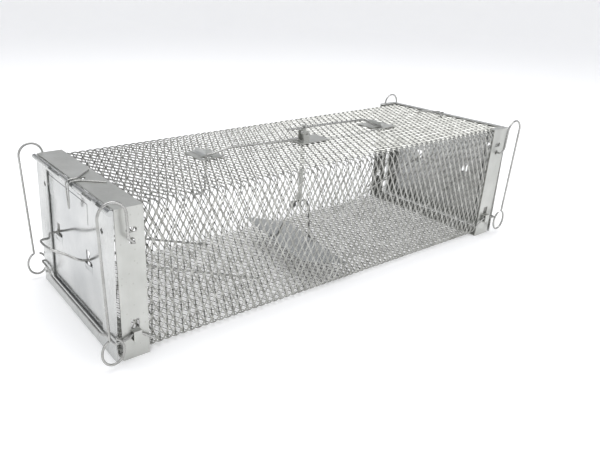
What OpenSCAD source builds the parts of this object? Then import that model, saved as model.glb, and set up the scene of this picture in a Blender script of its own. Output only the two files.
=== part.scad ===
// Wire mesh live catch trap with a drop door at each end.
// Frame: X runs along the cage, Y across it, Z up. The origin is at the middle of the base,
// on the surface that the trap stands on. The left end is at -X, the right end is the left
// end turned half a turn about Z.

/* [Cage] */
// Length of the cage over its two end bands
cage_l = 410; // [390:1:440]
// Width of the cage
cage_w = 145; // [140:1:160]
// Height of the cage
cage_h = 110; // [108:1:116]
// Sheet thickness of the bands, doors and plates
sheet = 0.8; // [0.6:0.1:1.0]
// Depth of each end band along the cage
band_d = 20; // [18:1:26]

/* [Mesh] */
// Thickness of the expanded metal
mesh_t = 1.2; // [0.8:0.1:1.2]
// Length of one diamond along the cage
cell_x = 18; // [16:1:24]
// Length of one diamond across the strands
cell_y = 24; // [20:1:30]
// Width of a strand
strand_w = 3; // [2:0.5:4]

/* [Door] */
// Width of the doorway in the front plate
doorway_w = 100; // [96:1:102]
// Height of the sill below the doorway
sill_h = 12; // [11:1:14]
// Depth of the lintel above the doorway
lintel_h = 7; // [6:1:8]
// Outward lean of the front plate and of the door behind it, in degrees
lean = 2; // [1:0.5:2]
// Diameter of the door's hinge wire
hinge_d = 2; // [1.8:0.1:2.0]

/* [Wires] */
// Diameter of the prop, lock bar and spring wire
wire_d = 1.8; // [1.6:0.1:2.0]
// Diameter of the trigger rods and the treadle hoop
rod_d = 1.8; // [1.4:0.1:1.8]
// Diameter of the thin top clip
clip_d = 1.0; // [0.8:0.1:1.0]

/* [Treadle] */
// Length of the treadle plate across the cage
treadle_l = 104; // [96:1:106]
// Width of the treadle plate along the cage
treadle_w = 50; // [44:1:52]
// Height of the middle of the treadle plate
treadle_z = 18; // [18:1:22]

/* [Hidden] */
$fn = 48;
cut = 1;            // how far a cutting solid runs past the face it cuts
sides = 8;          // sides of a swept wire
arc_step = 18;      // degrees between the rings of a swept arc

end_x = -cage_l / 2;                 // front edge of the left end band
half_w = cage_w / 2;
inner_w = half_w - sheet;            // inner face of the band's side
inner_top = cage_h - sheet;
wire_r = wire_d / 2;
rod_r = rod_d / 2;

// Door and its hinge
hinge_x = end_x + 2.2;
hinge_z = cage_h - 5.8;
hinge_r = hinge_d / 2;
hinge_play = 0.05;                   // radial running clearance of the door on its wire
curl_r = 1.9;                        // outer radius of the door's curls
door_w = doorway_w + 6;
door_bottom = 9.5;
door_x = hinge_x - curl_r;           // outer face of the door sheet
curl_places = [[-50, -28], [-14, 14], [28, 50]];
prop_z = 57;                         // height of the prop wire where it passes the door
prop_hole = [6.4, 14];               // width and height of a hole for the prop wire
prop_hole_y = [34, -25.5];
prop_x = door_x - (hinge_z - prop_z) * sin(lean);    // the leaning door's outer face at that height
panel_z = 84;                        // lower edge of the raised strip on the door
panel_h = 15;
panel_rise = 0.3;
panel_y = [-28, 48];

// Lock bar, its guide bridges and the hairpin springs
bar_x = end_x - 6;
bar_z = 11.5;
bar_high_z = 16.5;                   // height of the crossbar's cranked ends
arm_y = half_w + 1.7;                // plane of the lock bar's side arms
bridge_x = end_x + 10;
bridge_w = 6;
bridge_z = [14.6, 22.4];             // lower and upper edge of a guide bridge
bridge_gap = 3.1;                    // clear space between the band and its bridge
window_h = 7;
hook_x = end_x + 11;                 // hole in the band's side that a spring hooks into
hook_z = 87;
hook_hole_r = 2.2;
slot_z = 94.5;
slot_l = 4;                          // length of the slot between its round ends
slot_r = 1.8;
spring_y = half_w + 5.1;             // plane of the springs and their finger rings
spring_in_x = end_x + 6;             // inner leg of a spring
spring_out_x = end_x - 13;           // outer leg of a spring
spring_arc_z = 107.5;                // where the legs run into the arc
ring_x = end_x - 8.8;
ring_z = 13.5;
ring_a = 7.8;                        // half width of a finger ring
ring_b = 9.6;                        // half height of a finger ring

// Trigger: lever, its bracket on the roof, and the two rods
lever_x = 2;
lever_y = -7;
lever_w = 5;
lever_pin_z = cage_h + 6.6;
lever_top = lever_pin_z + 7.4;
lever_foot = 49;
lever_arm = 5;                       // distance of each rod from the lever's pin
eye_z = 54;                          // hole at the foot of the lever for the hoop
pin_r = 1;
rod_y = lever_y;
rod_low_z = lever_pin_z - lever_arm;
rod_high_z = lever_pin_z + lever_arm;
rod_clear_r = rod_r + 0.5;
latch_x = -97;                       // where a rod passes down through its latch plate
latch_reach = [[8, 13], [18, 7]];    // reach of the left and of the right plate, outwards and inwards
latch_w = 25;
hook_foot_x = -110.2;
hook_foot_z = 81.3;

// Treadle
treadle_c = [-4, -9];                // middle of the plate, seen from above
treadle_turn = -9;                   // turn about Z, because the plate hangs loose
treadle_tilt = 15;                   // fall of the plate towards +X in degrees
// Plane of the hoop, across the plate from its middle, so that its top runs through the lever's eye
hoop_y = (lever_y - treadle_c[1]) * cos(treadle_turn) - (lever_x - treadle_c[0]) * sin(treadle_turn);

function arc(cx, cz, rx, rz, from, to) =
    let (n = max(2, ceil(abs(to - from) / arc_step)))
    [for (i = [0 : n]) let (a = from + (to - from) * i / n) [cx + rx * cos(a), cz + rz * sin(a)]];
function at_y(points, y) = [for (p = points) [p[0], y, p[1]]];
function unit(v) = v / norm(v);
function tangent(path, i) =
    unit(path[min(i + 1, len(path) - 1)] - path[max(i - 1, 0)]);
function first_normal(t) = unit(cross(abs(t[2]) < 0.8 ? [0, 0, 1] : [1, 0, 0], t));

// The normal at each point of a path, carried along it without twist
function normals(path, i, n) = i == len(path) ? [] :
    let (t = tangent(path, i), m = unit(n - (n * t) * t))
    concat([m], normals(path, i + 1, m));

// A round wire of radius r swept along a path
module wire(path, r) {
    across = normals(path, 0, first_normal(tangent(path, 0)));
    rings = [
        for (i = [0 : len(path) - 1])
            let (n = across[i], b = cross(tangent(path, i), n))
            for (k = [0 : sides - 1])
                path[i] + r * (cos(360 * k / sides) * n + sin(360 * k / sides) * b)
    ];
    last = (len(path) - 1) * sides;
    walls = [
        for (i = [0 : len(path) - 2])
            for (k = [0 : sides - 1])
                let (a = i * sides + k, b = i * sides + (k + 1) % sides)
                [a, a + sides, b + sides, b]
    ];
    caps = [[for (k = [0 : sides - 1]) k], [for (k = [sides - 1 : -1 : 0]) last + k]];
    polyhedron(points = rings, faces = concat(walls, caps), convexity = 6);
}

// Turns a part made for the left end into the same part of the right end
module at_right() {
    rotate([0, 0, 180]) children();
}

module block(low, high) {
    translate(low) cube(high - low);
}

// ---- mesh panels ----

function diamond(x, y) = let (a = (cell_x - strand_w) / 2, b = (cell_y - strand_w * 1.6) / 2)
    [[x - a, y], [x, y - b], [x + a, y], [x, y + b]];

// Flat sheet of size l by w with staggered diamonds, and an untouched rim
module expanded_sheet(l, w, t) {
    rim = 3;
    columns = floor((l - 2 * rim) / cell_x);
    rows = floor((w - 2 * rim) / cell_y);
    x0 = -(columns - 1) * cell_x / 2;
    y0 = -(rows - 1) * cell_y / 2;
    full = [for (i = [0 : columns - 1]) for (j = [0 : rows - 1])
        diamond(x0 + i * cell_x, y0 + j * cell_y)];
    between = [for (i = [0 : columns - 2]) for (j = [0 : rows - 2])
        diamond(x0 + (i + 0.5) * cell_x, y0 + (j + 0.5) * cell_y)];
    holes = concat(full, between);
    outline = [[-l / 2, -w / 2], [l / 2, -w / 2], [l / 2, w / 2], [-l / 2, w / 2]];
    points = concat(outline, [for (h = holes) for (p = h) p]);
    paths = concat([[0, 1, 2, 3]], [for (i = [0 : len(holes) - 1]) [for (k = [0 : 3]) 4 + 4 * i + k]]);
    linear_extrude(t) polygon(points, paths);
}

mesh_l = cage_l - 2;
module mesh_roof() {
    color("lightgray") difference() {
        translate([0, 0, inner_top - mesh_t]) expanded_sheet(mesh_l, 2 * inner_w, mesh_t);
        block([lever_x - 6, lever_y - 6, inner_top - mesh_t - cut], [lever_x + 6, lever_y + 6, inner_top + cut]);
        for (turn = [0, 180])
            rotate([0, 0, turn]) trigger_gap(turn, mesh_t);
    }
}

// Room in the roof where a trigger rod's hook hangs through
module trigger_gap(turn, t) {
    y = turn == 0 ? rod_y : -rod_y;
    block([latch_x - 5, y - 2.5, inner_top - t - cut], [latch_x + 5, y + 2.5, cage_h + cut]);
}

module mesh_floor() {
    color("lightgray") translate([0, 0, sheet]) expanded_sheet(mesh_l, 2 * inner_w, mesh_t);
}

module side_mesh() {
    height = cage_h - 2 * (sheet + mesh_t);
    translate([0, -inner_w + mesh_t, cage_h / 2]) rotate([90, 0, 0]) expanded_sheet(mesh_l, height, mesh_t);
}

module mesh_front_side() {
    color("lightgray") side_mesh();
}

module mesh_back_side() {
    color("lightgray") mirror([0, 1, 0]) side_mesh();
}

// ---- left end: band and front plate ----

module bridge(side) {
    out = half_w + bridge_gap + sheet;
    x0 = bridge_x - bridge_w / 2;
    x1 = bridge_x + bridge_w / 2;
    mirror([0, side > 0 ? 0 : 1, 0]) {
        block([x0, half_w + bridge_gap, bridge_z[0]], [x1, out, bridge_z[1]]);
        block([x0, half_w - sheet, bridge_z[0]], [x1, out, bridge_z[0] + sheet]);
        block([x0, half_w - sheet, bridge_z[1] - sheet], [x1, out, bridge_z[1]]);
    }
}

module end_band(open_roof = false) {
    edge = 3;                        // what is left of the roof where it is open
    shoulder = 6;
    color("gainsboro") {
        difference() {
            block([end_x, -half_w, 0], [end_x + band_d, half_w, cage_h]);
            block([end_x - cut, -inner_w, sheet], [end_x + band_d + cut, inner_w, inner_top]);
            for (side = [-1, 1]) {
                translate([hook_x, side * half_w, hook_z]) rotate([90, 0, 0])
                    cylinder(r = hook_hole_r, h = 4, center = true);
                for (dx = [-slot_l / 2, slot_l / 2])
                    translate([hook_x + dx, side * half_w, slot_z]) rotate([90, 0, 0])
                        cylinder(r = slot_r, h = 4, center = true);
                translate([hook_x, side * half_w, slot_z]) cube([slot_l, 4, 2 * slot_r], center = true);
                translate([bridge_x, side * half_w, bridge_z[1] + window_h / 2 + 0.4])
                    cube([bridge_w, 4, window_h], center = true);
            }
            if (open_roof)
                block([end_x + edge, shoulder - half_w, inner_top - cut],
                    [end_x + band_d + cut, half_w - shoulder, cage_h + cut]);
            else
                translate([end_x + 7, lever_y + 2, cage_h - sheet / 2]) cylinder(r = 2.2, h = 4, center = true);
        }
        for (side = [-1, 1])
            bridge(side);
    }
}

module front_plate() {
    side_hole_y = 55;
    side_hole_r = 2.5;
    side_hole_z = -20;
    roll_r = 2;
    roll_slots = [[-64, -54], [-47, -31], [-14, -8], [12, 35]];
    color("gainsboro") difference() {
        translate([end_x - 0.1, 0, cage_h]) rotate([0, lean, 0]) {
            difference() {
                union() {
                    block([-sheet, -half_w, -cage_h], [0, half_w, -1]);
                    translate([-roll_r, 0, -roll_r - 0.2]) rotate([90, 0, 0])
                        cylinder(r = roll_r, h = cage_w, center = true);
                }
                block([-cut - sheet, -doorway_w / 2, sill_h - cage_h], [cut, doorway_w / 2, -lintel_h]);
                for (side = [-1, 1])
                    translate([-sheet / 2, side * side_hole_y, side_hole_z]) rotate([0, 90, 0])
                        cylinder(r = side_hole_r, h = 4, center = true, $fn = 4);
                for (s = roll_slots)
                    block([-2 * roll_r - cut, s[0], -roll_r], [-roll_r - 0.3, s[1], cut]);
            }
        }
        block([end_x - 20, -half_w, -20], [end_x + 20, half_w, 0.02]);
    }
}

module latch_plate(reach) {
    color("silver") difference() {
        block([latch_x - reach[0], rod_y - 4, inner_top], [latch_x + reach[1], rod_y - 4 + latch_w, cage_h]);
        trigger_gap(0, sheet);
    }
}

module top_clip() {
    front_x = end_x - 5.4;
    mid_y = -7.5;
    top_z = cage_h + clip_d / 2;
    half = [
        [end_x + 17, 16, top_z], [end_x + 5, 4.6, top_z], [end_x + 2, 3, top_z], [end_x - 3, 2.6, top_z],
        [front_x + 0.8, 2.5, top_z - 1.2], [front_x, 2.4, top_z - 4], [front_x, 2.2, 102],
        [front_x, 1.4, 92.4], [front_x, 0.8, 91.2]
    ];
    near = [for (p = half) [p[0], mid_y - p[1], p[2]]];
    far = [for (i = [len(half) - 1 : -1 : 0]) [half[i][0], mid_y + half[i][1], half[i][2]]];
    color("gray") wire(concat(near, [[front_x, mid_y, 90.8]], far), clip_d / 2);
}

module hinge_wire() {
    color("gray") translate([hinge_x, 0, hinge_z]) rotate([90, 0, 0])
        cylinder(r = hinge_r, h = 2 * inner_w - 2 * mesh_t, center = true);
}

// ---- left door and its prop wire ----

module door_sheet() {
    difference() {
        union() {
            block([door_x, -door_w / 2, door_bottom], [door_x + sheet, door_w / 2, hinge_z]);
            block([door_x - panel_rise, panel_y[0], panel_z], [door_x, panel_y[1], panel_z + panel_h]);
        }
        for (y = prop_hole_y)
            translate([door_x, y, prop_z]) cube([4, prop_hole[0], prop_hole[1]], center = true);
    }
}

module door() {
    color("whitesmoke") translate([hinge_x, 0, hinge_z]) rotate([0, lean, 0]) translate([-hinge_x, 0, -hinge_z])
    difference() {
        union() {
            difference() {
                door_sheet();
                block([door_x - cut, -door_w, hinge_z - curl_r - 0.4], [door_x + 2 * curl_r, door_w, hinge_z + curl_r]);
            }
            for (c = curl_places) {
                translate([hinge_x, (c[0] + c[1]) / 2, hinge_z]) rotate([90, 0, 0])
                    cylinder(r = curl_r, h = c[1] - c[0], center = true);
                block([door_x, c[0], hinge_z - curl_r - 1], [door_x + sheet, c[1], hinge_z]);
            }
        }
        translate([hinge_x, 0, hinge_z]) rotate([90, 0, 0])
            cylinder(r = hinge_r + hinge_play, h = cage_w, center = true);
    }
}

// The prop wire lies in a plane that falls inwards. Its points are placed by X and Y alone.
prop_fall = 0.368;
function on_prop(x, y) = [x, y, prop_z - prop_fall * (x - prop_x)];
prop_points = [
    [-60, 51], [prop_x, 35], [end_x - 5, 31], [end_x - 11, 27], [end_x - 15, 14], [end_x - 22, 9],
    [end_x - 24.6, 5], [end_x - 24.6, -4], [end_x - 21, -13], [end_x - 15, -17], [end_x - 10, -26],
    [end_x - 5, -27], [prop_x, -25], [-60, -31]
];

module prop_wire() {
    path = [for (p = prop_points) on_prop(p[0], p[1])];
    color("gray") wire(path, wire_r);
}

// ---- left lock bar and springs ----

module lock_bar() {
    half = [
        [end_x + 24, arm_y, 10.6], [end_x + 12.5, arm_y, 19.4], [end_x + 10, arm_y, 20.2],
        [end_x + 7.5, arm_y, 19.6], [end_x + 1, arm_y, 17], [end_x - 3.5, arm_y, bar_high_z],
        [bar_x + 0.6, arm_y - 0.6, bar_high_z], [bar_x, arm_y - 2.2, bar_high_z], [bar_x, 61, bar_high_z],
        [bar_x, 58.5, bar_high_z - 0.8], [bar_x, 53, bar_z + 0.8], [bar_x, 50.5, bar_z]
    ];
    other = [for (i = [len(half) - 1 : -1 : 0]) [half[i][0], -half[i][1], half[i][2]]];
    color("gray") wire(concat(half, other), wire_r);
}

module spring() {
    hook_reach = 0.6;
    loop = arc((spring_in_x + spring_out_x) / 2, spring_arc_z,
        (spring_in_x - spring_out_x) / 2, (spring_in_x - spring_out_x) / 2, 0, 180);
    leg = concat([[hook_x - 1.4, hook_z + 0.6], [spring_in_x + 1, hook_z + 4]], loop);
    // The ring starts under the outer leg and stops just short of closing
    ring = arc(ring_x, ring_z, ring_a, ring_b, 105, 430);
    path = concat(
        [[hook_x, half_w - hook_reach, hook_z], [hook_x, spring_y - 1.4, hook_z]],
        [for (p = leg) [p[0], spring_y, p[1]]],
        at_y(ring, spring_y)
    );
    color("gray") wire(path, wire_r);
}

module front_spring() {
    mirror([0, 1, 0]) spring();
}

// ---- trigger ----

module trigger_bracket() {
    ear_t = 0.8;
    gap = lever_w / 2 + 0.6;
    low = [lever_x - 8, lever_y - 8, inner_top];
    high = [lever_x + 24, lever_y + 12, cage_h];
    color("silver") difference() {
        union() {
            block(low, high);
            for (side = [-1, 1])
                translate([lever_x, lever_y + side * (gap + ear_t / 2), 0])
                    block([-3, -ear_t / 2, inner_top], [3, ear_t / 2, lever_pin_z + 2.6]);
        }
        block([lever_x - 5, lever_y - gap, inner_top - cut], [lever_x + 5, lever_y + gap, cage_h + cut]);
        translate([lever_x, lever_y, lever_pin_z]) rotate([90, 0, 0])
            cylinder(r = pin_r, h = 30, center = true);
    }
}

module trigger_pin() {
    color("gray") translate([lever_x, lever_y, lever_pin_z]) rotate([90, 0, 0])
        cylinder(r = pin_r, h = lever_w + 4.4, center = true);
}

module trigger_lever() {
    thick = 1;
    color("silver") difference() {
        union() {
            translate([lever_x, lever_y, 0])
                block([-thick / 2, -lever_w / 2, lever_foot], [thick / 2, lever_w / 2, lever_top]);
            translate([lever_x, lever_y, lever_pin_z]) rotate([90, 0, 0])
                cylinder(r = curl_r, h = lever_w, center = true);
        }
        translate([lever_x, lever_y, lever_pin_z]) rotate([90, 0, 0])
            cylinder(r = pin_r + hinge_play, h = 2 * lever_w, center = true);
        for (z = [rod_low_z, rod_high_z, eye_z])
            translate([lever_x, lever_y, z]) rotate([0, 90, 0])
                cylinder(r = rod_clear_r, h = 4, center = true);
    }
}

// Both rods hang a hook through their latch plate, rise in a crank and run to the lever
function rod_path(rise, level, eye, tail) = [
    [hook_foot_x, hook_foot_z], [latch_x - 3.5, hook_foot_z], [latch_x - 2.6, hook_foot_z + 1],
    [latch_x - 2.2, hook_foot_z + 3], [latch_x - 1.2, cage_h - 1], [latch_x - 0.4, cage_h + 1.4],
    [latch_x + 1.4, cage_h + 2], [latch_x + 5, cage_h + 2.2], [latch_x + 7, cage_h + 2.8],
    [latch_x + 20, cage_h + rise], [latch_x + 23, cage_h + rise], [eye - 5, level], [tail, level]
];

module left_trigger_rod() {
    color("gray") wire(at_y(rod_path(5, rod_low_z, lever_x, lever_x + 6), rod_y), rod_r);
}

module right_trigger_rod() {
    color("gray") at_right() wire(at_y(rod_path(10, rod_high_z, -lever_x, -lever_x + 19), -rod_y), rod_r);
}

// ---- treadle ----

module hang() {
    translate([treadle_c[0], treadle_c[1], 0]) rotate([0, 0, treadle_turn]) children();
}

module treadle_plate() {
    color("lightsteelblue") hang() translate([0, 0, treadle_z]) rotate([0, treadle_tilt, 0])
        cube([treadle_w, treadle_l, sheet], center = true);
}

module treadle_hoop() {
    lift = sheet / 2 + rod_r;        // the feet lie on the plate
    foot_l = -16;
    foot_r = 18;
    step = 7;
    function on_plate(x) = treadle_z - tan(treadle_tilt) * x + lift / cos(treadle_tilt);
    path = [
        [foot_l - step, on_plate(foot_l - step)], [foot_l, on_plate(foot_l)], [foot_l + 1.6, on_plate(foot_l) + 2.5],
        [-4, eye_z - 5], [-2, eye_z - 1.4], [1.5, eye_z], [10, eye_z], [13.5, eye_z - 1.6], [15.4, eye_z - 5],
        [foot_r, on_plate(foot_r) + 3], [foot_r + 1, on_plate(foot_r + 1) + 0.6],
        [foot_r + step, on_plate(foot_r + step)]
    ];
    color("gray") hang() wire(at_y(path, hoop_y), rod_r);
}

end_band();  // left_end_band
at_right() end_band(true);  // right_end_band
front_plate();  // left_front_plate
at_right() front_plate();  // right_front_plate
mesh_roof();
mesh_floor();
mesh_front_side();
mesh_back_side();
latch_plate(latch_reach[0]);  // left_latch_plate
mirror([1, 0, 0]) latch_plate(latch_reach[1]);  // right_latch_plate
trigger_bracket();
trigger_pin();
top_clip();  // left_top_clip
at_right() top_clip();  // right_top_clip
hinge_wire();  // left_hinge_wire
at_right() hinge_wire();  // right_hinge_wire
door();  // left_door
at_right() door();  // right_door
prop_wire();  // left_prop_wire
at_right() prop_wire();  // right_prop_wire
lock_bar();  // left_lock_bar
at_right() lock_bar();  // right_lock_bar
front_spring();  // left_front_spring
spring();  // left_back_spring
at_right() spring();  // right_front_spring
at_right() front_spring();  // right_back_spring
trigger_lever();
left_trigger_rod();
right_trigger_rod();
treadle_hoop();
treadle_plate();
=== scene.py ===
"""Live catch trap: galvanised expanded metal cage with a sheet metal drop door at each end.

Lengths are in millimetres in the tables and functions below, and become metres in solid().
X runs along the cage, Y across it, Z up, with the origin on the floor below its middle. The
right end of the cage is the left end turned half a turn about Z.
"""
import bpy
import numpy as np
from mathutils import Matrix, Vector


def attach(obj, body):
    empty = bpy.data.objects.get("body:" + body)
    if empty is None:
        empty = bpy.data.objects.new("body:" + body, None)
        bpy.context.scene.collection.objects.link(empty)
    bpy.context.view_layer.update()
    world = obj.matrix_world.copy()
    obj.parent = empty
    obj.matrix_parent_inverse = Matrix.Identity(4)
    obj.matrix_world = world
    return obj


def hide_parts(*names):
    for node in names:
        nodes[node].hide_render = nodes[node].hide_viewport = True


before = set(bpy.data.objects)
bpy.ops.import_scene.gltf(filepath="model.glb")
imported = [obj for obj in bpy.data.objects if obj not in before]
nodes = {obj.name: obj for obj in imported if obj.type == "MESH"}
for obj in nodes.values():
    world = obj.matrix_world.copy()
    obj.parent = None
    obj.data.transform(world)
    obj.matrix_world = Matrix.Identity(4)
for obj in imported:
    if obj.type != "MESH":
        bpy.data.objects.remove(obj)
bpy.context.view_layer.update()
MM = 0.001
SIDES = {"left": 1.0, "right": -1.0}

# ---- sizes shared with the cage ----
END_X = -205.0             # front edge of the left end band
PROP_X = -206.347          # outer face of the left door at the prop wire
PROP_Z = 57.0              # height of the prop wire in the door
PROP_FALL = 0.368          # fall of the prop wire's plane towards the inside
ARM_Y = 74.2               # plane of the lock bar's side arms
BAR_X = -211.0             # the lock bar's crossbar
SPRING_Y = 77.6            # plane of the hairpin springs
ROD_Y = -7.0               # plane of the trigger rods
ROOF_Z = 110.0             # upper face of the mesh's roof
WIRE_R = 0.89              # lock bars, prop wires and hairpin springs
ROD_R = 0.89               # trigger rods and treadle hoop
CLIP_R = 0.49              # top clips
SHARP_ANGLE = np.radians(40)


# ---- helpers that put shapes into the scene ----
def solid(name, points, faces, body, skin, smooth=True, stands_for=()):
    """A mesh from points in millimetres and faces. It rides on a body and may stand for CAD nodes."""
    mesh = bpy.data.meshes.new(name)
    mesh.from_pydata((np.asarray(points) * MM).tolist(), [], faces)
    mesh.validate()
    mesh.polygons.foreach_set("use_smooth", np.full(len(mesh.polygons), smooth))
    mesh.materials.append(skin)
    piece = bpy.data.objects.new(name, mesh)
    bpy.context.scene.collection.objects.link(piece)
    if smooth:
        mesh.set_sharp_from_angle(angle=SHARP_ANGLE)
    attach(piece, body)
    if stands_for:
        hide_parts(*stands_for)
    return piece


def turned(points, side):
    """Points of the left end, turned half a turn about Z when side is -1."""
    return np.asarray(points, float) * np.array([side, side, 1.0])


def bent(corners, bend, steps=7):
    """A wire's centre line: straight runs between the corners, with a quadratic curve at each.

    The curve starts and ends one bend length from its corner, or 0.48 of the run if that is less.
    """
    c = np.asarray(corners, float)
    run = c[1:] - c[:-1]
    length = np.linalg.norm(run, axis=1)
    way = run / length[:, None]
    before = np.minimum(bend, 0.48 * length[:-1])[:, None]
    after = np.minimum(bend, 0.48 * length[1:])[:, None]
    mid = c[1:-1]
    start, stop = mid - way[:-1] * before, mid + way[1:] * after
    t = np.linspace(0, 1, steps)[None, :, None]
    curve = (1 - t) ** 2 * start[:, None] + 2 * t * (1 - t) * mid[:, None] + t ** 2 * stop[:, None]
    return np.concatenate([c[:1], curve.reshape(-1, 3), c[-1:]])


def carried_frames(line):
    """Two directions square to the line at each point, carried along it without twist."""
    tangent = np.gradient(line, axis=0)
    tangent /= np.linalg.norm(tangent, axis=1)[:, None]
    seed = np.array([0, 0, 1.0]) if abs(tangent[0, 2]) < 0.8 else np.array([1.0, 0, 0])
    normal = np.cross(seed, tangent[0])
    across = np.empty_like(line)
    for i, t in enumerate(tangent):
        normal = normal - normal.dot(t) * t
        normal = normal / np.linalg.norm(normal)
        across[i] = normal
    return across, np.cross(tangent, across)


def tube_faces(rings, sides):
    """Quads between rings of points, and a flat end on the first and last ring."""
    i, k = np.meshgrid(np.arange(rings - 1), np.arange(sides), indexing="ij")
    a, b = i * sides + k, i * sides + (k + 1) % sides
    quads = np.stack([a, b, b + sides, a + sides], -1).reshape(-1, 4).tolist()
    last = (rings - 1) * sides
    return quads + [list(range(sides))[::-1], list(range(last, last + sides))]


def round_wire(name, line, radius, body, skin, stands_for=(), sides=14):
    """A circle of the wire's radius carried along its centre line."""
    keep = np.concatenate([[True], np.linalg.norm(np.diff(line, axis=0), axis=1) > 1e-4])
    line = line[keep]
    u, v = carried_frames(line)
    a = np.linspace(0, 2 * np.pi, sides, endpoint=False)[None, :, None]
    points = line[:, None] + radius * (np.cos(a) * u[:, None] + np.sin(a) * v[:, None])
    return solid(name, points.reshape(-1, 3), tube_faces(len(line), sides), body, skin,
                 stands_for=stands_for)


# ---- finishes ----
def socket(group, name, kind, way, value=None):
    made = group.interface.new_socket(name=name, in_out=way, socket_type=kind)
    if value is not None:
        made.default_value = value


def steel_group():
    """Surface of zinc coated steel: soft clouds, fine streaks along one way, specks and a normal."""
    group = bpy.data.node_groups.new("zinc_surface", "ShaderNodeTree")
    for name, value in (("Cloud scale", 40.0), ("Streak scale", 300.0), ("Stretch X", 1.0),
                        ("Stretch Z", 1.0), ("Relief", 0.1), ("Wave scale", 20.0),
                        ("Wave relief", 0.2)):
        socket(group, name, "NodeSocketFloat", "INPUT", value)
    for name in ("Cloud", "Streak", "Specks"):
        socket(group, name, "NodeSocketFloat", "OUTPUT")
    socket(group, "Normal", "NodeSocketVector", "OUTPUT")
    n, link = group.nodes, group.links.new
    inp, out = n.new("NodeGroupInput"), n.new("NodeGroupOutput")
    place = n.new("ShaderNodeTexCoord")
    stretch = n.new("ShaderNodeCombineXYZ")
    stretch.inputs["Y"].default_value = 1.0
    link(inp.outputs["Stretch X"], stretch.inputs["X"])
    link(inp.outputs["Stretch Z"], stretch.inputs["Z"])
    pulled = n.new("ShaderNodeVectorMath")
    pulled.operation = "MULTIPLY"
    link(place.outputs["Object"], pulled.inputs[0])
    link(stretch.outputs[0], pulled.inputs[1])

    def noise(vector, scale, detail, rough):
        tex = n.new("ShaderNodeTexNoise")
        tex.inputs["Detail"].default_value = detail
        tex.inputs["Roughness"].default_value = rough
        link(vector, tex.inputs["Vector"])
        if isinstance(scale, float):
            tex.inputs["Scale"].default_value = scale
        else:
            link(scale, tex.inputs["Scale"])
        return tex.outputs["Fac"]

    cloud = noise(place.outputs["Object"], inp.outputs["Cloud scale"], 3.0, 0.55)
    streak = noise(pulled.outputs[0], inp.outputs["Streak scale"], 4.0, 0.6)
    wave = noise(place.outputs["Object"], inp.outputs["Wave scale"], 1.0, 0.4)
    dots = n.new("ShaderNodeTexVoronoi")
    dots.inputs["Scale"].default_value = 230.0
    link(place.outputs["Object"], dots.inputs["Vector"])
    specks = n.new("ShaderNodeMapRange")
    specks.inputs["From Min"].default_value = 0.10
    specks.inputs["From Max"].default_value = 0.16
    specks.inputs["To Min"].default_value = 1.0
    specks.inputs["To Max"].default_value = 0.0
    link(dots.outputs["Distance"], specks.inputs["Value"])
    waves = n.new("ShaderNodeBump")
    waves.inputs["Distance"].default_value = 0.002
    link(wave, waves.inputs["Height"])
    link(inp.outputs["Wave relief"], waves.inputs["Strength"])
    fine = n.new("ShaderNodeBump")
    fine.inputs["Distance"].default_value = 0.0002
    link(streak, fine.inputs["Height"])
    link(inp.outputs["Relief"], fine.inputs["Strength"])
    link(waves.outputs[0], fine.inputs["Normal"])
    link(cloud, out.inputs["Cloud"])
    link(streak, out.inputs["Streak"])
    link(specks.outputs[0], out.inputs["Specks"])
    link(fine.outputs[0], out.inputs["Normal"])
    return group


ZINC = steel_group()


def zinc(name, dark, light, rough, values):
    """Zinc coated steel: the clouds run from the dark to the light colour, streaks move the gloss."""
    skin = bpy.data.materials.new(name)
    skin.use_nodes = True
    tree = skin.node_tree
    n, link = tree.nodes, tree.links.new
    shader = n["Principled BSDF"]
    shader.inputs["Metallic"].default_value = 1.0
    shader.inputs["IOR"].default_value = 1.5
    surface = n.new("ShaderNodeGroup")
    surface.node_tree = ZINC
    for key, value in values.items():
        surface.inputs[key].default_value = value
    tone = n.new("ShaderNodeMix")
    tone.data_type = "RGBA"
    tone.inputs["A"].default_value = (*dark, 1)
    tone.inputs["B"].default_value = (*light, 1)
    spread = n.new("ShaderNodeMapRange")
    spread.inputs["From Min"].default_value = 0.3
    spread.inputs["From Max"].default_value = 0.7
    link(surface.outputs["Cloud"], spread.inputs["Value"])
    link(spread.outputs[0], tone.inputs["Factor"])
    soiled = n.new("ShaderNodeMix")
    soiled.data_type = "RGBA"
    soiled.blend_type = "MULTIPLY"
    soiled.inputs["B"].default_value = (0.72, 0.71, 0.68, 1)
    faint = n.new("ShaderNodeMath")
    faint.operation = "MULTIPLY"
    faint.inputs[1].default_value = 0.5
    link(surface.outputs["Specks"], faint.inputs[0])
    link(faint.outputs[0], soiled.inputs["Factor"])
    link(tone.outputs["Result"], soiled.inputs["A"])
    link(soiled.outputs["Result"], shader.inputs["Base Color"])
    gloss = n.new("ShaderNodeMapRange")
    gloss.inputs["From Min"].default_value = 0.3
    gloss.inputs["From Max"].default_value = 0.7
    gloss.inputs["To Min"].default_value = rough[0]
    gloss.inputs["To Max"].default_value = rough[1]
    link(surface.outputs["Streak"], gloss.inputs["Value"])
    link(gloss.outputs[0], shader.inputs["Roughness"])
    link(surface.outputs["Normal"], shader.inputs["Normal"])
    return skin


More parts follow.
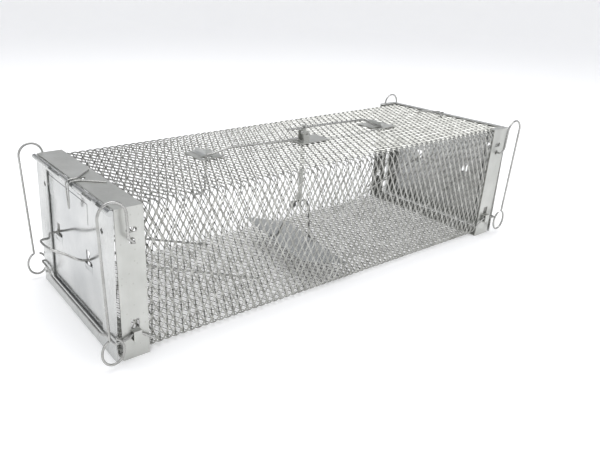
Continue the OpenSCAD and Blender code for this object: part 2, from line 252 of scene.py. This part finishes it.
SHEET = zinc("galvanised_sheet", (0.50, 0.505, 0.48), (0.62, 0.625, 0.60), (0.34, 0.46),
             {"Cloud scale": 28.0, "Streak scale": 420.0, "Stretch Z": 0.12, "Relief": 0.22,
              "Wave scale": 14.0, "Wave relief": 0.25})
FRONT = zinc("bright_front_sheet", (0.48, 0.49, 0.485), (0.62, 0.625, 0.61), (0.20, 0.30),
             {"Cloud scale": 30.0, "Streak scale": 420.0, "Stretch Z": 0.12, "Relief": 0.15,
              "Wave scale": 18.0, "Wave relief": 0.3})
DOOR = zinc("bright_door_sheet", (0.45, 0.46, 0.46), (0.62, 0.625, 0.615), (0.13, 0.22),
            {"Cloud scale": 22.0, "Streak scale": 350.0, "Stretch X": 1.0, "Stretch Z": 0.1,
             "Relief": 0.08, "Wave scale": 20.0, "Wave relief": 0.35})
TREADLE = zinc("treadle_sheet", (0.42, 0.43, 0.43), (0.54, 0.55, 0.545), (0.32, 0.44),
               {"Cloud scale": 35.0, "Streak scale": 380.0, "Stretch X": 0.1, "Relief": 0.2})
STRANDS = zinc("expanded_metal", (0.28, 0.28, 0.26), (0.50, 0.50, 0.475), (0.19, 0.32),
               {"Cloud scale": 120.0, "Streak scale": 700.0, "Relief": 0.3})
# A lighter copy of the zinc sheet for the strips bent up from the latch plates: painted highlight on
# the raised strips.
STRIP_HIGHLIGHT = zinc("painted_highlight_zinc", (0.62, 0.63, 0.62), (0.78, 0.785, 0.77), (0.26, 0.38),
              {"Cloud scale": 45.0, "Streak scale": 420.0, "Stretch X": 0.15, "Relief": 0.15})
DULL = zinc("dull_wire", (0.20, 0.20, 0.195), (0.30, 0.30, 0.29), (0.26, 0.40),
            {"Cloud scale": 90.0, "Streak scale": 900.0, "Relief": 0.25})
WIRE = zinc("drawn_wire", (0.34, 0.34, 0.325), (0.48, 0.48, 0.465), (0.20, 0.32),
            {"Cloud scale": 90.0, "Streak scale": 900.0, "Relief": 0.25})

CAD_SKINS = {
    SHEET: ("left_end_band", "right_end_band", "left_latch_plate", "right_latch_plate",
            "trigger_bracket", "trigger_lever"),
    FRONT: ("left_front_plate", "right_front_plate"),
    DOOR: ("left_door", "right_door"),
    TREADLE: ("treadle_plate",),
    WIRE: ("trigger_pin", "left_hinge_wire", "right_hinge_wire"),
}
for skin, names in CAD_SKINS.items():
    for node_name in names:
        kept = nodes[node_name]
        for place in kept.material_slots:
            place.material = skin
        if not kept.material_slots:
            kept.data.materials.append(skin)


# ---- expanded metal ----
MESH_END = 204.0           # where the mesh ends, inside the end bands
PITCH_X = 6.476            # width of a diamond along the cage
ROUND = 39                 # diamonds round the cage
HALF_Y = 70.8              # middle of the strands' thickness at the sides, floor and roof
LOW_Z, HIGH_Z = 1.75, 108.25
CORNER = 6.0               # radius of the mesh's long edges
STRAND_W, STRAND_T = 1.05, 0.5  # width and thickness of a strand
TILT = np.radians(42)      # turn of a strand about its own run
BOND = 0.6                 # half length of the bond between two strands
MESH_DRIFT = 0.5           # how far the mesh is drawn out halfway to each end, clear of the rods


def round_the_cage(s):
    """Place and outward direction at arc length s round a rectangle with rounded corners.

    The start is the middle of the roof and s runs towards the front side. Straight runs and
    quarter circles follow each other, and each s falls in exactly one of them.
    """
    flat_y, flat_z = 2 * (HALF_Y - CORNER), HIGH_Z - LOW_Z - 2 * CORNER
    turn = np.pi / 2 * CORNER
    runs = np.array([flat_y / 2, turn, flat_z, turn, flat_y, turn, flat_z, turn, flat_y / 2])
    ends = np.cumsum(runs)
    s = np.mod(s, ends[-1])
    place, out = np.zeros(s.shape + (2,)), np.zeros(s.shape + (2,))
    at = np.array([0.0, HIGH_Z])
    heading = np.array([-1.0, 0.0])
    for i, run in enumerate(runs):
        here = (s >= ends[i] - run) & (s < ends[i])
        d = (s[here] - (ends[i] - run))[:, None]
        outward = np.array([-heading[1], heading[0]]) * -1.0
        if i % 2:
            a = d / CORNER
            centre = at - outward * CORNER
            place[here] = centre + CORNER * (np.cos(a) * outward + np.sin(a) * heading)
            out[here] = np.cos(a) * outward + np.sin(a) * heading
            at = centre + CORNER * heading
            heading = -outward
        else:
            place[here] = at + d * heading
            out[here] = outward
            at = at + run * heading
    return place, out


def perimeter():
    return 4 * (HALF_Y - CORNER) + 2 * (HIGH_Z - LOW_Z - 2 * CORNER) + 2 * np.pi * CORNER


def expanded_metal():
    """All strands as one grid: strand, place round the cage, corner of the strand's section.

    Each strand runs once round the cage and swings from side to side by a quarter of the pitch,
    flat along each bond and sloping between bonds. Its neighbour swings the other way, so that the
    two meet at every bond. The section is a rectangle turned by a fixed tilt, and by three quarters
    of that along the bonds. A sine of X draws the mesh out towards both ends, by most halfway.
    """
    step = perimeter() / ROUND / 2
    local = np.array([-BOND, BOND, step / 2])
    bonds = np.arange(2 * ROUND)
    s = (bonds[:, None] * step + local[None]).reshape(-1)
    swing = np.where(bonds % 2 == 0, 1.0, -1.0)[:, None] * np.array([1.0, 1.0, 0.0])[None]
    swing = swing.reshape(-1)
    twist = np.tile(np.array([0.75, 0.75, 1.0]), 2 * ROUND) * TILT
    place, out = round_the_cage(s)
    whole = 2 * MESH_END
    count = int(round(whole / PITCH_X)) * 2
    rows = np.arange(count)
    centre = -MESH_END + (rows + 0.5) * whole / count
    centre = centre + MESH_DRIFT * np.sin(np.pi * centre / MESH_END)
    sign = np.where(rows % 2 == 0, 1.0, -1.0)
    reach = whole / count / 2 - 0.42 * STRAND_W
    x = centre[:, None] + sign[:, None] * swing[None] * reach
    corners = np.array([[-1, -1], [1, -1], [1, 1], [-1, 1]]) * 0.5 * np.array([STRAND_W, STRAND_T])
    cos, sin = np.cos(twist)[:, None], np.sin(twist)[:, None]
    dx = corners[None, :, 0] * cos - corners[None, :, 1] * sin
    dn = corners[None, :, 0] * sin + corners[None, :, 1] * cos
    points = np.zeros((count, len(s), 4, 3))
    points[..., 0] = x[:, :, None] + dx[None]
    points[..., 1] = place[None, :, None, 0] + dn[None] * out[None, :, None, 0]
    points[..., 2] = place[None, :, None, 1] + dn[None] * out[None, :, None, 1]
    return points, s


def mesh_panel(panel, points, first, last):
    """The stretch of every strand between two places round the cage, closed at both ends."""
    ring = np.arange(first, last + 1) % points.shape[1]
    part = points[:, ring]
    count, rings = part.shape[:2]
    strand, i, k = np.meshgrid(np.arange(count), np.arange(rings - 1), np.arange(4), indexing="ij")
    a = (strand * rings + i) * 4 + k
    b = (strand * rings + i) * 4 + (k + 1) % 4
    quads = np.stack([a, b, b + 4, a + 4], -1).reshape(-1, 4)
    first_ring = np.arange(count)[:, None] * rings * 4 + np.arange(4)[None]
    last_ring = first_ring + (rings - 1) * 4
    faces = np.concatenate([quads, first_ring[:, ::-1], last_ring]).tolist()
    solid("strands_" + panel, part.reshape(-1, 3), faces, "cage", STRANDS,
          smooth=False, stands_for=("mesh_" + panel,))


STRAND_POINTS, STRAND_S = expanded_metal()
FLAT_Y, FLAT_Z, TURN = HALF_Y - CORNER, HIGH_Z - LOW_Z - 2 * CORNER, np.pi / 2 * CORNER
FRONT_TOP = FLAT_Y + TURN
FRONT_FOOT = FRONT_TOP + FLAT_Z
BACK_FOOT = FRONT_FOOT + 2 * (FLAT_Y + TURN)
BACK_TOP = BACK_FOOT + FLAT_Z
EDGES = np.searchsorted(STRAND_S, [FRONT_TOP, FRONT_FOOT, BACK_FOOT, BACK_TOP])
mesh_panel("front_side", STRAND_POINTS, EDGES[0], EDGES[1])
mesh_panel("floor", STRAND_POINTS, EDGES[1], EDGES[2])
mesh_panel("back_side", STRAND_POINTS, EDGES[2], EDGES[3])
mesh_panel("roof", STRAND_POINTS, EDGES[3], EDGES[0] + len(STRAND_S))


# ---- wires of both ends ----
# A prop wire in X and Y: a leg to the floor, the handle outside the door, and the other leg.
PROP = [(-60, 51), (-199, 35.6), (PROP_X, 35), (END_X - 5, 31), (END_X - 11, 27), (END_X - 15, 14),
        (END_X - 22, 9), (END_X - 24.3, 5), (END_X - 24.3, -4), (END_X - 21, -13), (END_X - 15, -17),
        (END_X - 10, -26), (END_X - 5, -27), (PROP_X, -25), (-60, -31)]


def lock_bar_corners():
    """One half: inner tip, over the sill of the guide bridge, side arm, and the cranked crossbar."""
    half = [(END_X + 24, ARM_Y, 10.6), (END_X + 12.5, ARM_Y, 19.4), (END_X + 10, ARM_Y, 20.2),
            (END_X + 7.5, ARM_Y, 19.6), (END_X + 1, ARM_Y, 17), (END_X - 3.5, ARM_Y, 16.5),
            (BAR_X, ARM_Y, 16.5), (BAR_X, 59.5, 16.5), (BAR_X, 52, 11.5)]
    return half + [(x, -y, z) for x, y, z in reversed(half)]


def at_spring(x, z):
    return np.stack([x, np.full(x.shape, SPRING_Y), z], -1)


def hairpin_line():
    """Hook, inner leg, half circle, outer leg, and a finger ring that stops short of closing."""
    hook = [(END_X + 11, 72.2, 87), (END_X + 11, SPRING_Y, 87), (END_X + 6.4, SPRING_Y, 91),
            (END_X + 6, SPRING_Y, 107.5)]
    a = np.radians(np.arange(6, 181, 6))
    loop = at_spring(END_X - 3.5 + 9.5 * np.cos(a), 107.5 + 9.5 * np.sin(a))
    b = np.radians(np.arange(105, 431, 6.5))
    ring = at_spring(END_X - 8.8 + 7.8 * np.cos(b), 13.5 + 9.6 * np.sin(b))
    return np.concatenate([bent(hook, 2.4), loop, ring])


def clip_corners():
    """One leg across the band's roof, over its front edge and down to the narrow foot, then back."""
    front, middle, z = END_X - 5.4, -7.5, ROOF_Z + 0.5
    half = [(END_X + 17, 16, z), (END_X + 4, 3.6, z), (END_X - 3, 2.6, z), (front, 2.4, z - 1.6),
            (front, 2.0, 101), (front, 1.0, 92), (front, 0.2, 90.6)]
    down = [(x, middle - apart, z) for x, apart, z in half]
    return down + [(x, middle + apart, z) for x, apart, z in reversed(half)]


for name, side in SIDES.items():
    prop = bent([(x, y, PROP_Z - PROP_FALL * (x - PROP_X)) for x, y in PROP], 4.0)
    round_wire(name + "_prop_bail", turned(prop, side), WIRE_R, name + "_prop", WIRE,
               (name + "_prop_wire",))
    round_wire(name + "_lock_rail", turned(bent(lock_bar_corners(), 4.0), side), WIRE_R,
               name + "_lock", WIRE, (name + "_lock_bar",))
    round_wire(name + "_clip_wire", turned(bent(clip_corners(), 2.0), side), CLIP_R, "cage",
               WIRE, (name + "_top_clip",), sides=10)
    for place, across in (("front", -1.0), ("back", 1.0)):
        body = name + "_" + place + "_spring"
        line = hairpin_line() * np.array([side, across, 1.0])
        round_wire(name + "_" + place + "_hairpin", line, WIRE_R, body, WIRE, (body,))

# ---- trigger rods and treadle hoop ----
LATCH_X = -97.0            # where a rod passes through the roof
LEVER_X = 2.0
PIN_Z, ARM = 116.6, 5.0    # the lever's pin, and how far above or below it a rod is held


def rod_corners(y, rise, level, eye, tail):
    """Hook foot, up through the roof, along it, and level from just before the lever to the tail."""
    top = ROOF_Z
    line = [(-110.2, 81.3), (LATCH_X - 2.8, 81.3), (LATCH_X - 2.0, 85), (LATCH_X - 0.6, top + 2),
            (LATCH_X + 6, top + 2.2), (LATCH_X + 21.5, top + rise), (eye - 5, level), (tail, level)]
    return [(x, y, z) for x, z in line]


left_rod = bent(rod_corners(ROD_Y, 5, PIN_Z - ARM, LEVER_X, LEVER_X + 6), 2.6)
right_rod = bent(rod_corners(-ROD_Y, 10, PIN_Z + ARM, -LEVER_X, -LEVER_X + 19), 2.6)
round_wire("left_rod_wire", left_rod, ROD_R, "left_rod", WIRE, ("left_trigger_rod",))
round_wire("right_rod_wire", turned(right_rod, -1.0), ROD_R, "right_rod", WIRE,
           ("right_trigger_rod",))

TREADLE_X, TREADLE_Y, TREADLE_Z = -4.0, -9.0, 18.0
TREADLE_TURN, TREADLE_TILT = np.radians(-9), np.radians(15)
TREADLE_LIFT = 0.4 + 0.9   # half the plate's thickness and the wire's radius
EYE_Z = 54.0               # the lever's eye, where the hoop hangs
COIL_R = 2.5


def on_plate(x):
    """Height of a wire that lies on the tilted plate, x millimetres from its middle."""
    return TREADLE_Z - np.tan(TREADLE_TILT) * x + TREADLE_LIFT / np.cos(TREADLE_TILT)


def hoop_line():
    """Feet on the plate, two sloping legs, a level top, and two turns of a coil above the near leg.

    The coil is a circle in X and Z that moves evenly along Y. The whole line is then turned about
    Z with the treadle and moved to its place.
    """
    a = np.radians(np.arange(180, 180 - 721, -15))
    coil = np.stack([-1.6 + COIL_R * np.cos(a), np.linspace(-1.9, 1.9, len(a)),
                     EYE_Z - COIL_R + COIL_R * np.sin(a)], -1)
    near = bent([(-23, 0, on_plate(-23)), (-16, 0, on_plate(-16)), (-4.6, -1.9, EYE_Z - 6),
                 (-4.1, -1.9, EYE_Z - 3)], 2.0)
    far = bent([(-0.8, 1.6, EYE_Z - 0.1), (1.5, 0, EYE_Z), (12.5, 0, EYE_Z), (16.5, 0, EYE_Z - 8),
                (18.2, 0, on_plate(18.2) + 2), (25, 0, on_plate(25))], 2.6)
    line = np.concatenate([near, coil[:-4], far])
    c, s = np.cos(TREADLE_TURN), np.sin(TREADLE_TURN)
    hoop_y = (ROD_Y - TREADLE_Y) * c - (LEVER_X - TREADLE_X) * s
    x, y = line[:, 0], line[:, 1] + hoop_y
    return np.stack([TREADLE_X + c * x - s * y, TREADLE_Y + s * x + c * y, line[:, 2]], -1)


round_wire("treadle_bail", hoop_line(), ROD_R, "treadle", DULL, ("treadle_hoop",))


# ---- bent up strips of the latch plates, and the lances of the doors ----
def bent_strip(name, line, thick, y0, y1, body, skin, side=1.0):
    """A sheet whose centre line in X and Z is given: offset to both sides, carried along Y."""
    c = np.asarray(line, float)
    way = np.gradient(c, axis=0)
    way /= np.linalg.norm(way, axis=1)[:, None]
    off = np.stack([-way[:, 1], way[:, 0]], -1) * thick / 2
    outline = np.concatenate([c + off, (c - off)[::-1]])
    count = len(outline)
    y = np.array([y0, y1])[:, None]
    points = np.stack([np.broadcast_to(outline[:, 0], (2, count)), np.broadcast_to(y, (2, count)),
                       np.broadcast_to(outline[:, 1], (2, count))], -1)
    return solid(name, turned(points.reshape(-1, 3), side), tube_faces(2, count), body, skin)


def quarter(x, z, radius, height):
    """A strip's line: flat on the plate, a quarter circle up, and a short wall."""
    a = np.linspace(-np.pi / 2, 0, 7)
    turn = np.stack([x + radius * np.cos(a), z + radius + radius * np.sin(a)], -1)
    return np.concatenate([[[x - 3.0, z]], turn, [[x + radius + 0.5, z + height]]])


FLAP_T, FLAP_BEND, FLAP_H = 0.6, 1.2, 3.2  # thickness, radius of the bend, height
# The bent up strips take the lighter zinc copy, a painted highlight.
for name, x, y0, y1 in (("left", -96.5, -3.5, 13.5), ("right", -104.0, -13.5, 3.5)):
    bent_strip(name + "_latch_flap", quarter(x, ROOF_Z + 0.35, FLAP_BEND, FLAP_H), FLAP_T, y0, y1,
               "cage", STRIP_HIGHLIGHT, side=SIDES[name])

LANCE_TOP, LANCE_H, LANCE_HALF = 55.2, 5.8, 7.0
LANCE_RISE, LANCE_T = 1.7, 0.5
DOOR_X, HINGE_Z, LEAN = -204.7, 104.2, np.radians(-2)


def lance(name, y, side):
    """A strip pushed out of the door below a prop hole.

    Across the strip its height is one minus the square, down the strip it falls as a quarter
    wave, and the door's lean is a shift of X with Z. Two layers, closed at the rim.
    """
    across, down = np.meshgrid(np.linspace(-1, 1, 21), np.linspace(0, 1, 9), indexing="ij")
    rise = LANCE_RISE * (1 - across ** 2) * np.cos(down * np.pi / 2) ** 0.7 + 0.05
    z = LANCE_TOP - LANCE_H * down - 1.2 * across ** 2
    x = DOOR_X + np.tan(LEAN) * (HINGE_Z - z)
    outer = np.stack([x - rise, y + LANCE_HALF * across, z], -1).reshape(-1, 3)
    inner = np.stack([x - rise + LANCE_T, y + LANCE_HALF * across, z], -1).reshape(-1, 3)
    n, m = across.shape
    i, k = np.meshgrid(np.arange(n - 1), np.arange(m - 1), indexing="ij")
    a = (i * m + k).reshape(-1)
    quads = np.stack([a, a + m, a + m + 1, a + 1], -1)
    rim = np.concatenate([np.arange(n) * m, (n - 1) * m + np.arange(1, m),
                          (np.arange(n - 1)[::-1]) * m + m - 1, np.arange(1, m - 1)[::-1]])
    nxt = np.roll(rim, -1)
    wall = np.stack([rim, rim + n * m, nxt + n * m, nxt], -1)
    faces = np.concatenate([quads, quads[:, ::-1] + n * m, wall]).tolist()
    solid(name, turned(np.concatenate([outer, inner]), SIDES[side]), faces, side + "_door",
          DOOR)


for name in SIDES:
    lance(name + "_back_lance", 34.0, name)
    lance(name + "_front_lance", -25.5, name)

# ---- floor, light and camera ----
def dish(sectors=72):
    """A flat disc whose rim turns up in a quarter circle and ends in a low wall, turned about Z."""
    a = np.linspace(0, np.pi / 2, 12)
    radius = np.concatenate([[0.4, 1.2], 2.4 + 0.5 * np.sin(a), [2.9]])
    height = np.concatenate([[0.0, 0.0], 0.5 - 0.5 * np.cos(a), [1.0]])
    t = np.linspace(0, 2 * np.pi, sectors, endpoint=False)
    ring = np.stack([radius[:, None] * np.cos(t), radius[:, None] * np.sin(t),
                     np.broadcast_to(height[:, None], (len(radius), sectors))], -1)
    i, k = np.meshgrid(np.arange(len(radius) - 1), np.arange(sectors), indexing="ij")
    a, b = i * sectors + k, i * sectors + (k + 1) % sectors
    quads = np.stack([a, a + sectors, b + sectors, b], -1).reshape(-1, 4).tolist()
    return ring.reshape(-1, 3), quads + [list(range(sectors))]


floor_mesh = bpy.data.meshes.new("floor")
floor_points, floor_faces = dish()
floor_mesh.from_pydata(floor_points.tolist(), [], floor_faces)
floor_mesh.polygons.foreach_set("use_smooth", np.full(len(floor_mesh.polygons), True))
floor = bpy.data.objects.new("floor", floor_mesh)
bpy.context.scene.collection.objects.link(floor)


def pale_paper():
    """Matt, nearly white paper, faintly mottled, with a little light of its own."""
    paper = bpy.data.materials.new("pale_floor")
    paper.use_nodes = True
    tree = paper.node_tree
    shader = tree.nodes["Principled BSDF"]
    shader.inputs["Roughness"].default_value = 0.9
    shader.inputs["Specular IOR Level"].default_value = 0.1
    shader.inputs["Emission Color"].default_value = (1, 1, 1, 1)
    shader.inputs["Emission Strength"].default_value = 0.2
    mottle = tree.nodes.new("ShaderNodeTexNoise")
    mottle.inputs["Scale"].default_value = 3.0
    where = tree.nodes.new("ShaderNodeTexCoord")
    tree.links.new(where.outputs["Object"], mottle.inputs["Vector"])
    shade = tree.nodes.new("ShaderNodeMix")
    shade.data_type = "RGBA"
    shade.inputs["A"].default_value = (0.90, 0.90, 0.90, 1)
    shade.inputs["B"].default_value = (0.93, 0.93, 0.93, 1)
    tree.links.new(mottle.outputs["Fac"], shade.inputs["Factor"])
    tree.links.new(shade.outputs["Result"], shader.inputs["Base Color"])
    return paper


floor_mesh.materials.append(pale_paper())

world = bpy.data.worlds.new("studio")
world.use_nodes = True
sky = world.node_tree.nodes
aim = sky.new("ShaderNodeTexCoord")
height = sky.new("ShaderNodeSeparateXYZ")
fade = sky.new("ShaderNodeValToRGB")
fade.color_ramp.elements[0].position = 0.12
fade.color_ramp.elements[0].color = (0.10, 0.10, 0.11, 1)
fade.color_ramp.elements[1].position = 0.8
fade.color_ramp.elements[1].color = (0.62, 0.63, 0.66, 1)
world.node_tree.links.new(aim.outputs["Generated"], height.inputs[0])
world.node_tree.links.new(height.outputs["Z"], fade.inputs["Fac"])
world.node_tree.links.new(fade.outputs["Color"], sky["Background"].inputs["Color"])
sky["Background"].inputs["Strength"].default_value = 1.0
bpy.context.scene.world = world
bpy.context.scene.view_settings.view_transform = "Standard"


def softbox(name, where, size, power):
    """A rectangular white area light that faces the cage's middle."""
    light = bpy.data.lights.new(name, "AREA")
    light.shape = "RECTANGLE"
    light.size, light.size_y = size
    light.energy = power
    lamp = bpy.data.objects.new(name, light)
    lamp.location = where
    lamp.rotation_euler = (CAGE_MIDDLE - Vector(where)).to_track_quat("-Z", "Y").to_euler()
    bpy.context.scene.collection.objects.link(lamp)


CAGE_MIDDLE = Vector((0, 0, 0.05))
softbox("overhead", (0.1, 0.2, 1.5), (1.6, 1.2), 16)
softbox("front_left", (-1.3, -0.9, 0.9), (0.9, 0.9), 5)
softbox("front_right", (0.9, -1.4, 0.6), (0.8, 0.6), 3)

camera_data = bpy.data.cameras.new("view")
camera_data.sensor_width = 36.0
camera_data.lens = 35.66
camera_data.shift_x = 0.1083
camera_data.shift_y = 0.0117
camera = bpy.data.objects.new("view", camera_data)
right = Vector((0.82220046, -0.56893318, 0.01736186))
up = Vector((0.21377613, 0.33692297, 0.91694202))
back = -Vector((0.52752835, 0.75019861, -0.39864256))
camera_at = Matrix.Translation((-0.336775, -0.388072, 0.242110))
camera.matrix_world = camera_at @ Matrix((right, up, back)).transposed().to_4x4()
bpy.context.scene.collection.objects.link(camera)
bpy.context.scene.camera = camera
